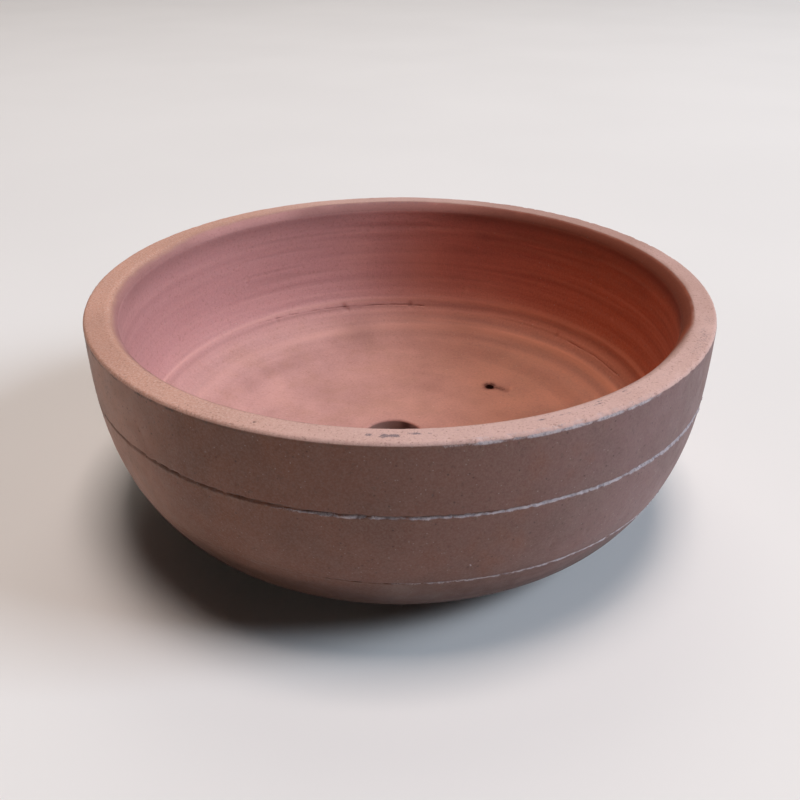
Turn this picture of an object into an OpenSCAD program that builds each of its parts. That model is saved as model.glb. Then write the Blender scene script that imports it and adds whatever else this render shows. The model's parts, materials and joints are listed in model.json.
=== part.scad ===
// Round, unglazed stoneware bonsai pot on three low feet.
// The bowl is built up from a pressed base dish and two wall rings, luted together
// with slip. Each joint is cut on a bevel that rises towards the inside, and shows
// outside as a scored line. The origin is on the ground, in the middle of the pot.

/* [Bowl] */
// Diameter of the bowl where its wall is fullest
bowl_d = 250; // [240:1:260]
// Height from the ground to the rim
pot_h = 92; // [90:1:96]
// Thickness of the wall
wall = 12.5; // [11:0.5:14]
// Thickness of the floor at its middle
floor_t = 11.7; // [10:0.1:13]

/* [Rim] */
// Width of the flat band on top of the rim
rim_flat = 6.7; // [5:0.1:8]
// Radius of the rim's outer arris
arris_r = 1.3; // [0.8:0.1:2]
// Drop of the softened bevel on the rim's inner side
lip_drop = 4; // [3:0.5:6]

/* [Joints between the rings] */
// Depth of the upper joint line below the rim
upper_drop = 27.2; // [22:0.1:32]
// Depth of the lower joint line below the rim
lower_drop = 58.8; // [54:0.1:62]
// Half width of the upper scored line
upper_score = 0.7; // [0.4:0.1:1]
// Half width of the lower scored line
lower_score = 0.4; // [0.3:0.1:0.8]
// How far each joint rises from the outside to the inside
joint_rise = 5; // [3:0.5:6]
// Tilt of the upper joint in degrees, low on the +X side
upper_tilt = 0.4; // [0:0.1:0.6]
// Tilt of the lower joint in degrees, low on the +X side
lower_tilt = 1; // [0:0.1:1.2]

/* [Holes] */
// Diameter of the drain hole
drain_d = 26; // [20:1:30]
// Offset of the drain hole from the middle of the floor, towards -X
drain_shift = 3; // [0:0.5:5]
// Diameter of the two tie-wire holes
tie_d = 4; // [3:0.5:6]
// Distance of the tie-wire holes from the middle of the floor
tie_r = 62.5; // [50:0.5:68]
// Direction of the first tie-wire hole, from +X towards +Y
tie_angle = 45; // [36:1:54]

/* [Feet] */
// Height of the feet
foot_h = 8; // [6:0.5:10]
// Radius of the ring that the feet stand on
foot_ring_r = 78; // [76:0.5:80]
// Width of a foot, across the ring
foot_w = 14; // [10:0.5:16]
// Angle that a foot spans along the ring
foot_span = 26; // [18:1:34]

/* [Hidden] */
$fn = 96;
foot_count = 3;                 // evenly spaced, the first at the back
eps = 0.5;                      // how far cutters run past the faces they cut
belly_r = bowl_d / 2;
belly_z = pot_h - 5;            // height of the fullest part of the wall
outer_b = 105.5;                // vertical half axis of the outer curve
outer_n = 2.75;                 // exponent of the outer curve
heel_h = 9;                     // height over which the heel rounds under
inner_r = belly_r - wall;
inner_b = belly_z - foot_h - floor_t;
inner_n = 4.7;                  // exponent of the inner curve, squarer than outside
lip_w = wall - arris_r - rim_flat;
lip_n = 1.4;                    // exponent of the inner bevel, 1 straight and 2 round
outer_steps = 16;
inner_steps = 18;
heel_steps = 6;
lip_steps = 6;
arris_steps = 4;
joint_slope = joint_rise / wall;
score_depth_ratio = 0.9;        // depth of a scored line over its half width

// A quarter of a superellipse: its radius and height at parameter t, 0 to 90
function curve(t, r, z, b, n) = [r * pow(cos(t), 2 / n), z - b * pow(sin(t), 2 / n)];

// Radius of the outer curve at height z, and how fast it shrinks going down
function outer_r(z) = belly_r * pow(1 - pow((belly_z - z) / outer_b, outer_n), 1 / outer_n);
function outer_slope(z) =
    pow(belly_r / outer_b, outer_n) * pow((belly_z - z) / outer_r(z), outer_n - 1);

// The heel is an arc that leaves the outer curve and ends flat on the underside
heel_z = foot_h + heel_h;
heel_a = atan(outer_slope(heel_z));
heel_r = heel_h / (1 - sin(heel_a));
heel_x = outer_r(heel_z) - heel_r * cos(heel_a);
heel_t = asin(pow((belly_z - heel_z) / outer_b, outer_n / 2));

// Half section of the bowl, from the outer arris down the outside and up the inside
bowl_section = concat(
    [for (i = [0:arris_steps]) let (a = 90 - 90 * i / arris_steps)
        [belly_r - arris_r + arris_r * cos(a), pot_h - arris_r + arris_r * sin(a)]],
    [for (i = [0:outer_steps]) curve(heel_t * i / outer_steps, belly_r, belly_z, outer_b, outer_n)],
    [for (i = [1:heel_steps]) let (a = heel_a + (90 - heel_a) * i / heel_steps)
        [heel_x + heel_r * cos(a), foot_h + heel_r - heel_r * sin(a)]],
    [[0, foot_h]],
    [for (i = [inner_steps:-1:0]) curve(90 * i / inner_steps, inner_r, belly_z, inner_b, inner_n)],
    [for (i = [1:lip_steps]) let (a = 90 * i / lip_steps)
        [inner_r + lip_w * (1 - pow(cos(a), 2 / lip_n)),
         pot_h - lip_drop * (1 - pow(sin(a), 2 / lip_n))]]
);

module bowl() {
    rotate_extrude() polygon(bowl_section);
}

// Moves the children to a joint line and tilts them with it. The shift along X keeps
// the tilted line on the wall, which is narrower lower down.
module on_joint(drop, tilt) {
    z = pot_h - drop;
    shift = outer_r(z) * tan(tilt) * outer_slope(z);
    translate([-shift, 0, z]) rotate([0, tilt, 0]) children();
}

// Everything above a joint: its lower face is the bevel that rises inwards
module above_joint(drop, tilt) {
    r = outer_r(pot_h - drop);
    top = pot_h;
    far = belly_r + 20;
    on_joint(drop, tilt) rotate_extrude()
        polygon([[0, r * joint_slope], [far, (r - far) * joint_slope], [far, top], [0, top]]);
}

// The scored line that runs along a joint on the outside
module scored_line(drop, tilt, half_w) {
    r = outer_r(pot_h - drop);
    deep = half_w * score_depth_ratio;
    open = half_w * (1 + eps / deep);
    on_joint(drop, tilt) rotate_extrude()
        polygon([[r + eps, open], [r - deep, 0], [r + eps, -open]]);
}

module upper_line() {
    scored_line(upper_drop, upper_tilt, upper_score);
}

module lower_line() {
    scored_line(lower_drop, lower_tilt, lower_score);
}

// A round hole down through the floor
module floor_hole(x, y, d) {
    translate([x, y, foot_h - eps]) cylinder(d = d, h = floor_t + wall + 2 * eps);
}

// The top ring of the wall, with the flat rim
module rim_ring() {
    color("rosybrown") difference() {
        intersection() {
            bowl();
            above_joint(upper_drop, upper_tilt);
        }
        upper_line();
    }
}

// The middle ring of the wall, between the two joints
module wall_ring() {
    color("sienna") difference() {
        intersection() {
            bowl();
            above_joint(lower_drop, lower_tilt);
        }
        above_joint(upper_drop, upper_tilt);
        upper_line();
        lower_line();
    }
}

// The pressed dish under the rings, with the floor and its holes
module base_dish() {
    color("saddlebrown") difference() {
        bowl();
        above_joint(lower_drop, lower_tilt);
        lower_line();
        floor_hole(-drain_shift, 0, drain_d);
        for (turn = [0, 180]) {
            a = tie_angle + turn;
            floor_hole(tie_r * cos(a), tie_r * sin(a), tie_d);
        }
    }
}

// One low foot, a short block that follows the foot ring, luted to the underside
module foot(i) {
    middle = 90 + 360 * (i - 1) / foot_count;
    color("dimgray") rotate([0, 0, middle - foot_span / 2])
        rotate_extrude(angle = foot_span)
            translate([foot_ring_r - foot_w / 2, 0]) square([foot_w, foot_h]);
}

rim_ring();
wall_ring();
base_dish();
foot(1);  // foot_1
foot(2);  // foot_2
foot(3);  // foot_3
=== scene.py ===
"""Looks of the round unglazed stoneware bonsai pot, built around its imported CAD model.

Each clay member is remade as one closed mesh. Its section is swept round the pot's axis,
and the marks of handwork and firing are cut into the mesh: scored lines with crumbled
edges, throwing rings, the crack at the lower joint, chips and pits.
The shapes are worked out in millimetres, and turned into metres as each mesh is made.
"""
import functools
import json
import math

import bpy
import numpy as np
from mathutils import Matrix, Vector


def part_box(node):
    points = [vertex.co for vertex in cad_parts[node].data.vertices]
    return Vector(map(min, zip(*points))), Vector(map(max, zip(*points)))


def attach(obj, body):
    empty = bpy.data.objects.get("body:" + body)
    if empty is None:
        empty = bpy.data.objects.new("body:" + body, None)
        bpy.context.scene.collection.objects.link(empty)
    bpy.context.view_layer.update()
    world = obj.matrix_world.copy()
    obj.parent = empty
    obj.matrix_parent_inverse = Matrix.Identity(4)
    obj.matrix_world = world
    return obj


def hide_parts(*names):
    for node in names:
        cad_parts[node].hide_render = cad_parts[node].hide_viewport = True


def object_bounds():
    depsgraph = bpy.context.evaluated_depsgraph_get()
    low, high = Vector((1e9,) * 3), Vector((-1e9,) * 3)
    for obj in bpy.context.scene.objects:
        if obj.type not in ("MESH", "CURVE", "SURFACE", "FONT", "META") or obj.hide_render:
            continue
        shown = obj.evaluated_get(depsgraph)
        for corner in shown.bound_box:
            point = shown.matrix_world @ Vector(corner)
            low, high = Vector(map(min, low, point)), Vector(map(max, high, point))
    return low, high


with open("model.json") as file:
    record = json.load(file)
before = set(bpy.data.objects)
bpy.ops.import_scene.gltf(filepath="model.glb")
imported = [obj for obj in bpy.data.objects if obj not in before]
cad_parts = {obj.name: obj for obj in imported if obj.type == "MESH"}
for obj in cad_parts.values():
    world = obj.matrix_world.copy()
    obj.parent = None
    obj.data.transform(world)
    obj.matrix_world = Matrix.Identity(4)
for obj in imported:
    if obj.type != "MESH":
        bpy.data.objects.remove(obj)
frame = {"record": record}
CAD_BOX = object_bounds()

MM = 0.001
MOUNTS = {m["name"]: m for m in frame["record"]["mounts"]}

# ---- The bowl, in millimetres. The same curves as the CAD model's.
POT_H = CAD_BOX[1].z / MM
BELLY_R = CAD_BOX[1].x / MM
FOOT_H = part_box("base_dish")[0].z / MM
WALL = 12.5
FLOOR_T = 11.7
RIM_FLAT = 6.7
ARRIS_R = 1.3
LIP_DROP = 4.0
LIP_W = WALL - ARRIS_R - RIM_FLAT
LIP_N = 1.4
BELLY_Z = POT_H - 5
OUTER_B = 105.5
OUTER_N = 2.75
HEEL_H = 9.0
FOOT_RING_R = 78.0
FOOT_W = 14.0
FOOT_SPAN = 26.0                # degrees along the foot ring
FOOT_SOFT = 2.2                 # radius of a foot's worn edges
INNER_R = BELLY_R - WALL
INNER_B = BELLY_Z - FOOT_H - FLOOR_T
INNER_N = 4.7
HOLE_EDGE = 1.1                 # radius of the drain hole's worn edges
DRAIN_R = MOUNTS["drain_hole"]["dims"]["r_mm"]
DRAIN_X = MOUNTS["drain_hole"]["pos_m"][0] / MM
TIE_R = MOUNTS["tie_hole_back"]["dims"]["r_mm"]
TIE_HOLES = [[v / MM for v in MOUNTS[m]["pos_m"][:2]] for m in ("tie_hole_back", "tie_hole_front")]

# ---- The two joints: drop of the outer line below the rim, tilt, half width of the line
UPPER_JOINT = {"drop": 27.2, "tilt": 0.4, "half_w": 0.8, "seed": 20}
LOWER_JOINT = {"drop": 58.8, "tilt": 1.0, "half_w": 0.4, "seed": 30}
JOINT_SLOPE = 5.0 / WALL

# ---- Mesh density
STEPS = 1152                    # columns round the pot, where the detail is finest
HALF_STEPS = STEPS // 2         # columns on the floor and the underside
WALL_PITCH = 1.2                # usual distance between section points on the walls
EDGE_OFFSETS = [0, 0.3, 0.6, 0.9, 1.25, 1.7, 2.4]     # closer points beside a line
RIM_INSIDE = 18.0               # height of the inner wall above the upper joint, about
DISH_INSIDE = 12.0              # height of the inner wall below the lower joint, about
FACE_INSET = 1.2                # from a joint's edges to the first rings on its face
SHARP_ANGLE = 50.0              # degrees, where the shading breaks at an edge
FOOT_CELLS = (40, 12, 8)        # along, across and up a foot


# ---- Numbers
def unit(x):
    """x, held between 0 and 1."""
    return np.clip(x, 0, 1)


def smooth(x, low, high):
    """0 below low, 1 above high, and a smooth step between."""
    t = unit((x - low) / (high - low))
    return t * t * (3 - 2 * t)


def most(*layers):
    """The greatest of several values at each point."""
    return functools.reduce(np.maximum, layers)


def window(x, low, high, soft):
    """1 between low and high, fading to 0 over soft on each side."""
    return smooth(x, low - soft, low) * (1 - smooth(x, high, high + soft))


def bell(x, width):
    """1 at x = 0, falling off smoothly over width."""
    return np.exp(-((x / width) ** 2))


def scatter(ix, iy, iz, seed):
    """A repeatable random number from 0 to 1 for each point of a whole-number lattice."""
    h = (ix * 374761393 + iy * 668265263 + iz * 1440662683 + seed * 1274126177) & 0xFFFFFFFF
    h = ((h ^ (h >> 13)) * 1274126177) & 0xFFFFFFFF
    return ((h ^ (h >> 16)) & 0xFFFF) / 0xFFFF


def noise(p, size, seed):
    """Smooth noise from -1 to 1 at the points p, with lumps of about the given size."""
    q = p / np.asarray(size, float)
    cell = np.floor(q).astype(np.int64)
    f = q - cell
    f = f * f * (3 - 2 * f)
    total = np.zeros(p.shape[:-1])
    for corner in range(8):
        step = [(corner >> axis) & 1 for axis in range(3)]
        share = np.ones_like(total)
        for axis in range(3):
            share = share * (f[..., axis] if step[axis] else 1 - f[..., axis])
        ix, iy, iz = (cell[..., axis] + step[axis] for axis in range(3))
        total += share * scatter(ix, iy, iz, seed)
    return 2 * total - 1


def degrees_from(theta, angle):
    """Signed degrees round the pot from an angle. +X is at 0 and the back at 90."""
    return (np.degrees(theta) - angle + 180) % 360 - 180


def arc(theta, first, last, soft):
    """1 between two angles round the pot in degrees, fading to 0 over soft on each side."""
    half = (last - first) / 2
    return window(degrees_from(theta, first + half), -half, half, soft)


# ---- The ideal section
def in_space(theta, r, z):
    """The points round the pot at that radius and height."""
    return np.stack([r * np.cos(theta), r * np.sin(theta), z + 0 * theta], -1)


def outer_r(z):
    deep = np.maximum(BELLY_Z - z, 0) / OUTER_B
    return BELLY_R * (1 - deep ** OUTER_N) ** (1 / OUTER_N)


def outer_slope(z):
    """How fast the outer radius grows with height."""
    deep = np.maximum(BELLY_Z - z, 0)
    return (BELLY_R / OUTER_B) ** OUTER_N * (deep / outer_r(z)) ** (OUTER_N - 1)


def inner_r(z):
    deep = unit((BELLY_Z - z) / INNER_B)
    return INNER_R * (1 - deep ** INNER_N) ** (1 / INNER_N)


def inner_z(r):
    return BELLY_Z - INNER_B * (1 - (r / INNER_R) ** INNER_N) ** (1 / INNER_N)


def slope(curve, at, step=0.05):
    """How fast a curve's value grows at a place."""
    return (curve(at + step) - curve(at - step)) / (2 * step)


def line_z(joint, theta):
    """Height of a joint's outer line. It is tilted, and wavers as a hand-scored line does."""
    z = POT_H - joint["drop"]
    r = outer_r(z)
    tilted = z - r * np.cos(theta) * math.tan(math.radians(joint["tilt"]))
    p = in_space(theta, r, 0)
    return tilted + 0.22 * noise(p, 17, joint["seed"]) + 0.1 * noise(p, 5, joint["seed"] + 1)


def joint_z(joint, theta, r):
    """Height of a joint's face at radius r: a bevel that rises inwards from the line."""
    z = line_z(joint, theta)
    return z + JOINT_SLOPE * (outer_r(z) - r)


def joint_inner_z(joint, theta):
    """Height at which a joint comes out on the inside of the wall."""
    z = line_z(joint, theta) + JOINT_SLOPE * WALL
    for _ in range(4):
        z = joint_z(joint, theta, inner_r(z))
    return z


# ---- Marks in the clay
def spots(count, low, high, seed):
    """Seeded random rows of numbers, one for each mark, between the two rows given."""
    rng = np.random.default_rng(seed)
    return rng.uniform(low, high, (count, len(low)))


def dents(theta, height, radius, marks):
    """Sum of round dents, each a row of angle in degrees, height, radius and depth."""
    total = np.zeros_like(theta)
    for angle, at, size, depth in marks:
        across = np.radians(degrees_from(theta, angle)) * radius
        total += depth * np.exp(-(across ** 2 + (height - at) ** 2) / size ** 2)
    return total


OUTER_PITS = np.vstack([
    spots(110, (0, 20, 0.35, 0.12), (360, 90, 0.8, 0.35), 41),
    [[205.5, 88.5, 0.9, 0.5], [294.5, 43, 0.8, 0.4], [301.3, 44, 0.8, 0.45], [246, 70, 0.7, 0.4]],
])
RIM_PITS = np.vstack([
    spots(70, (0, 116, 0.35, 0.08), (360, 123, 0.7, 0.3), 42),
    [[248.5, 120.5, 0.75, 0.6], [262, 118.5, 0.5, 0.3], [322, 119, 0.6, 0.3]],
])
INNER_PITS = np.vstack([
    spots(60, (0, 24, 0.3, 0.08), (360, 88, 0.7, 0.25), 43),
    [[133.7, 60.5, 0.8, 0.4]],
])
# Pale grains standing in the faces: angle, height, radius, strength
OUTER_DOTS = [(266.5, 36.3, 0.5, 1.0), (280.9, 41.7, 0.6, 1.0), (301, 79.1, 0.6, 0.9),
              (222, 60, 0.45, 0.9)]
INNER_DOTS = [(71, 47, 1.1, 1.0), (133.7, 62, 0.9, 0.8), (100, 79, 0.8, 0.7), (25, 55, 0.9, 0.7)]
# Paler patches on the inner wall, in the same order
INNER_PALE = [(83, 59, 17, 0.9), (101, 65, 12, 0.5), (66, 50, 14, 0.35)]
# Paler patches that the fingers wiped on the outside: angle, height, radius, strength
WIPED = [(270, 27, 7, 0.55), (276, 24, 5, 0.4), (247, 38, 8, 0.25), (300, 60, 10, 0.2),
         (40, 40, 12, 0.25), (110, 30, 10, 0.25)]
# Nicks along the crack: angle, height above the joint, radius, depth
CRACK_NICKS = [(127, -0.8, 1.1, 0.35), (106.5, 0.0, 1.4, 0.6), (105.5, -1.2, 0.9, 0.4),
               (87, 0.3, 1.2, 0.5), (41, 0.2, 1.1, 0.4), (230, 0.2, 1.1, 0.4),
               (300, -0.3, 1.2, 0.4)]
# Stretches where the crack is open: first and last angle, how far open
CRACK_OPEN = [(84, 130, 0.5), (16, 35, 0.55), (196, 214, 0.4), (262, 291, 0.55), (318, 331, 0.35)]
# Raised rings inside: distance below the rim, height of the ridge, half width
RIDGES = [(14.6, 0.13, 0.5), (21.0, 0.07, 0.5), (41.5, 0.08, 0.5), (51.4, 0.34, 0.6),
          (56.9, 0.1, 0.7), (63.1, 0.3, 0.8), (67.0, 0.12, 0.6)]
# Soft dark smears on the inner wall: first and last angle, height at each, half width, strength
SMEARS = [(18, 62, 83, 79, 10, 0.75), (25, 70, 74, 69, 2.2, 0.35), (40, 90, 78, 82, 1.4, 0.3),
          (20, 50, 62, 60, 1.5, 0.35), (30, 68, 84, 85, 1.6, 0.5), (230, 270, 70, 66, 3.0, 0.4)]
# Brown smudges low inside, left by water and soil: x, y, radius, strength
SMUDGES = [(-38, 40, 12, 0.3), (-22, 94, 11, 0.45), (5, 62, 14, 0.15), (30, -50, 16, 0.3),
           (-60, -35, 12, 0.3), (36, 98, 16, 0.22), (8, 104, 12, 0.15)]
# Strokes of grey ash on the rim: first and last angle, radius, half width, strength
ASH_STROKES = [(265, 269.8, 120.3, 1.2, 1.3), (270.8, 275, 119.2, 0.5, 1.2),
               (276.5, 279.5, 118.8, 0.4, 1.0), (259, 264.5, 119.2, 0.4, 0.4),
               (290, 303, 119.0, 0.5, 0.9), (299, 312, 117.8, 0.4, 0.7),
               (303, 318, 119.6, 0.7, 0.5), (318, 350, 120.4, 1.2, 0.2),
               (350, 372, 119.0, 1.2, 0.35), (205, 216, 119, 1.0, 0.3), (60, 80, 120, 1.0, 0.3)]


def groove(joint, theta, dz, p):
    """A scored line at height dz from its middle: cut, crumbs along it, a dusty pale band on its
    lit lower edge that is partly a painted highlight, and painted shade in it.
    """
    seed = joint["seed"]
    angle = np.degrees(theta)
    start, depth = 241, 0.85
    if joint is LOWER_JOINT:
        start = 256
        depth = 0.3 + 0.6 * (1 - arc(theta, 196, 250, 14))      # nearly smoothed over there
    width = joint["half_w"] * (1 + 0.35 * noise(p, 2.2, seed + 2) + 0.2 * noise(p, 9, seed + 3))
    ragged = noise(p, (1.0, 1.0, 0.6), seed + 4)
    off = dz + 0.22 * width * noise(p, (1.6, 1.6, 9), seed + 7)
    cut = -depth * width * unit(1 - np.abs(off) / width)
    crumb = unit(ragged + 0.3) * bell(off + 1.1 * width, 0.5 * width + 0.15)
    filled = arc(theta, 262, 330, 16)
    braided = arc(theta, 224, 242, 7) if joint is UPPER_JOINT else 0
    bead = unit(noise(p, (1.5, 1.5, 9), seed + 8) + 0.1 + 0.4 * filled + 0.4 * braided)
    bead = bead * bell(off + 0.25 * width * filled + 0.3 * braided * ragged, 0.5 * width)
    # The dusty pale band, partly a painted highlight on the lit lower edge, grows from the front to
    # the right
    dusty = smooth(angle, start, start + 20) * (0.9 + 0.1 * smooth(angle, 272, 305))
    back = 0.5 * smooth(noise(p, 45, seed + 5), 0.1, 0.5) * arc(theta, 20, 175, 15)
    dusty = most(dusty * (1 - smooth(angle, 346, 360)), back)
    patchy = unit(0.98 + 0.4 * noise(p, (2.4, 2.4, 0.9), seed + 6) + 0.35 * ragged)
    low = width * (1.0 - 0.7 * smooth(angle, 248, 268))
    dust = dusty * patchy * bell(off + low, (0.6 + 0.12 * smooth(angle, 272, 300)) * width + 0.1)
    above = bell(off - 0.45 * width, 0.75 * width)
    below = 0.7 * bell(off + 1.5 * width, 0.4 * width) * most(smooth(angle, 262, 272), braided)
    shade = depth * most(above, below) * (1 - 0.7 * smooth(angle, 276, 300))
    shade = shade * unit(0.95 + 0.3 * ragged - 0.7 * bead)
    rise = 0.34 * crumb * (0.5 + 0.5 * dusty) + (0.45 + 0.4 * filled) * bead * width
    return cut + rise, dust, shade, 0.6 * crumb * (1 - dusty)


def tones(depth, **given):
    """What a face carries: its depth and its marks, all zero but those given."""
    made = {mark: np.zeros_like(depth) for mark in ("dust", "stain", "ash", "wash", "worn")}
    return {**made, **given, "depth": depth}


def blend(first, second, share):
    """Marks part way between two faces' marks."""
    return {mark: first[mark] * (1 - share) + second[mark] * share for mark in first}


def outside_marks(theta, p):
    """The marks on the outer wall, at the points p."""
    z = p[..., 2]
    d = 0.14 * noise(p, 36, 1) + 0.05 * noise(p, 11, 2) + 0.022 * noise(p, (3.0, 3.0, 1.6), 3)
    pit = dents(theta, z, BELLY_R, OUTER_PITS)
    d = d - pit
    # Painted shade in the pits
    stain = unit(pit * 1.6)
    dust = dents(theta, z, BELLY_R, OUTER_DOTS)
    worn = np.zeros_like(d)
    for joint in (UPPER_JOINT, LOWER_JOINT):
        cut, pale, shade, crumb = groove(joint, theta, z - line_z(joint, theta), p)
        d += cut
        dust, stain, worn = most(dust, pale), most(stain, shade), most(worn, crumb)
    chip, pale, shade = arris_marks(theta, p)
    up = z - POT_H
    d -= chip * smooth(up, -3.0, -0.6)
    dust = most(dust, pale * bell(up + 1.4, 0.75))
    stain = most(stain, shade * bell(up + 1.7, 0.7))
    # Painted shade low down: darker towards the bottom and most on the left, broken by streaks;
    # paler wiped patches; and a painted reflection along the left side
    wipes = noise(p, (26, 26, 1.8), 9)
    low = 1 - smooth(z, 18, 40)
    wash = unit(low * (0.7 + 0.4 * arc(theta, 185, 262, 25) + 0.35 * wipes))
    wiped = dents(theta, z, BELLY_R, WIPED)
    worn = worn + wiped * (0.8 + 0.5 * wipes) + 0.85 * arc(theta, 150, 198, 14)
    return tones(d, dust=dust, stain=stain, wash=wash, worn=unit(worn))


def arris_marks(theta, p):
    """Chips along the rim's outer edge, a dusty pale band at the front right that is partly a
    painted highlight, and painted shade just below the edge on the front left.
    """
    worn = 0.25 + 0.75 * arc(theta, 282, 328, 12) + 0.5 * arc(theta, 20, 60, 15)
    ragged = unit(noise(p, 2.4, 51) + 0.6 * noise(p, 1.1, 52))
    chip = worn * (0.45 * ragged + 0.5 * unit(noise(p, 7, 53) - 0.45))
    pale = arc(theta, 282, 306, 14) * unit(0.85 + 0.5 * noise(p, 2.2, 54))
    shade = 0.8 * arc(theta, 196, 262, 14) * unit(0.6 + 0.5 * noise(p, 4, 55))
    return chip, pale, shade


def rim_marks(theta, r, p):
    """The marks on the flat sandy rim."""
    d = 0.10 * noise(p, 24, 5) + 0.045 * noise(p, 3.2, 6) + 0.04 * noise(p, 1.2, 7)
    pit = dents(theta, r, BELLY_R, RIM_PITS)
    chip, pale, _ = arris_marks(theta, p)
    from_edge = r - BELLY_R
    # A dusty pale band near the outer edge at the front right, partly a painted highlight
    dust = pale * most(0.62 * smooth(from_edge, -1.9, -1.1), 0.34 * smooth(from_edge, -6.5, -2.5))
    greyed = arc(theta, -31, -18, 8) * smooth(from_edge, -9, -4)
    ash = most(ash_strokes(theta, r, p), 0.42 * greyed * (0.9 + 0.3 * noise(p, 5, 72)),
               0.3 * pale * smooth(from_edge, -2.6, -1.0))
    # Painted shade along the rim's inner edge, most behind and on the right
    inner_edge = 1 - smooth(r, INNER_R + LIP_W, INNER_R + LIP_W + 3.5)
    fuzzy = 0.8 + 0.5 * noise(p, 6, 68)
    shaded = (0.4 + 0.6 * arc(theta, 0, 80, 22)) * arc(theta, -18, 150, 20)
    wash = most(0.85 * arc(theta, 28, 66, 16) + 0.4 * arc(theta, 200, 212, 12),
                0.32 * arc(theta, 10, 96, 14), 0.4 * arc(theta, -12, 30, 9),
                inner_edge * fuzzy * shaded)
    d = d - pit - chip * smooth(from_edge, -3.2, -0.9)
    # Painted shade in the pits
    return tones(d, dust=dust, stain=unit(1.5 * pit), ash=ash, wash=wash)


def ash_strokes(theta, r, p):
    """How much ash the strokes leave on the rim."""
    rough = unit(0.65 + 0.8 * noise(p, 1.6, 8))
    waver = 0.5 * noise(p, 9, 56)
    broken = 1 + 0.7 * noise(p, (1.8, 1.8, 9), 60)
    total = np.zeros_like(rough)
    for first, last, at, half, strength in ASH_STROKES:
        along = arc(theta, first + 0.8, last - 0.8, 1.6)
        total = most(total, strength * rough * along * bell(r - at - waver, half * broken))
    return total


def throwing_rings(theta, p, drop):
    """Fine rings left by the fingers, at the given distance down the inside: how far they
    stand out, the painted shade in their hollows and below each ridge, and the painted highlight on
    the ridges."""
    fine = 0.05 * noise(p, (80, 80, 1.3), 11) + 0.04 * noise(p, (50, 50, 0.75), 12)
    fine = fine * (0.4 + 0.6 * arc(theta, 10, 120, 25))
    rings = fine + 0.05 * noise(p, (90, 90, 4.0), 13)
    drop = drop + 0.008 * p[..., 0] + 0.02 * np.maximum(p[..., 0], 0)    # higher on the +X side
    painted_ring_shade = np.clip(-6 * fine - 0.05, 0, 0.4)
    painted_ring_highlight = np.clip(8 * fine, 0, 0.6)
    for at, rise, half in RIDGES:
        waver = 0.35 * noise(p, 30, int(10 * at))
        strength = 0.9 + 0.3 * noise(p, 38, int(10 * at) + 1)
        strength = rise * strength * (0.45 + 0.55 * arc(theta, 15, 112, 30))
        off = drop - at - waver
        rings = rings + strength * bell(off, half)
        painted_ring_shade = most(painted_ring_shade, 1.6 * strength * bell(off - 2.6, 1.0))
        painted_ring_highlight = most(painted_ring_highlight, 5.2 * strength * bell(off, 1.4 * half))
    return rings, painted_ring_shade, painted_ring_highlight


def smudges(p):
    """How dark the smudges make the floor and the foot of the wall."""
    uneven = 1 + 0.3 * noise(p, 12, 69)
    total = np.zeros_like(uneven)
    for at_x, at_y, radius, strength in SMUDGES:
        away = np.hypot(p[..., 0] - at_x, p[..., 1] - at_y) * uneven
        total = most(total, strength * bell(away, radius))
    return total


def smears(theta, p):
    """How dark the hand's smears make the inner wall."""
    waver = 1.5 * noise(p, 25, 57)
    streaky = 0.7 + 0.5 * noise(p, (22, 22, 1.4), 58)
    total = np.zeros_like(waver)
    for first, last, start_z, end_z, half, strength in SMEARS:
        share = unit((np.degrees(theta) - first) / (last - first))
        middle = start_z + (end_z - start_z) * share + waver
        reach = arc(theta, first, last, 15) * bell(p[..., 2] - middle, half)
        total = most(total, strength * streaky * reach)
    return unit(total)


def inside_marks(theta, p):
    """The marks on the inner wall, at the points p."""
    z = p[..., 2]
    rings, painted_ring_shade, painted_ring_highlight = throwing_rings(theta, p, POT_H - z)
    d = 0.12 * noise(p, 40, 14) + 0.03 * noise(p, 6, 15) + rings
    pit = dents(theta, z, INNER_R, INNER_PITS)
    above = z - joint_inner_z(LOWER_JOINT, theta)
    open_by = np.zeros_like(d)
    for first, last, amount in CRACK_OPEN:
        open_by = most(open_by, amount * arc(theta, first, last, 3))
    broken = unit(0.75 + 0.9 * noise(p, (3.5, 3.5, 50), 16))
    waver = 0.22 * noise(p, (4, 4, 50), 17)
    crack = open_by * broken * bell(above - waver, 0.2 + 0.16 * open_by)
    nick = dents(theta, above, INNER_R * 0.95, CRACK_NICKS)
    # Painted shade in the pits and in the open crack
    stain = unit(1.5 * pit + 0.5 * crack)
    # Painted shade under the rim, most at the back and on the right, joined to the painted shade
    # below the rings and to the smears
    up = z - POT_H
    under_rim = smooth(up, -13, -4) * (0.15 + 0.9 * arc(theta, -10, 66, 24))
    under_rim = under_rim + 0.45 * smooth(up, -15, -5) * arc(theta, 112, 172, 18)
    wash = most(painted_ring_shade, under_rim, smears(theta, p))
    wash = wash + smudges(p) * (1 - smooth(z, 30, 48))
    # Painted shade in the nicks and the crack
    wash = unit(wash + 0.6 * nick + 0.3 * crack)
    pale = dents(theta, z, INNER_R, INNER_DOTS + INNER_PALE)
    # Paler patches, and the painted highlight on the rings' ridges
    worn = unit(painted_ring_highlight * (1 - under_rim) + pale)
    return tones(d - pit - 0.6 * crack - nick, stain=stain, wash=wash, worn=worn)


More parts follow.
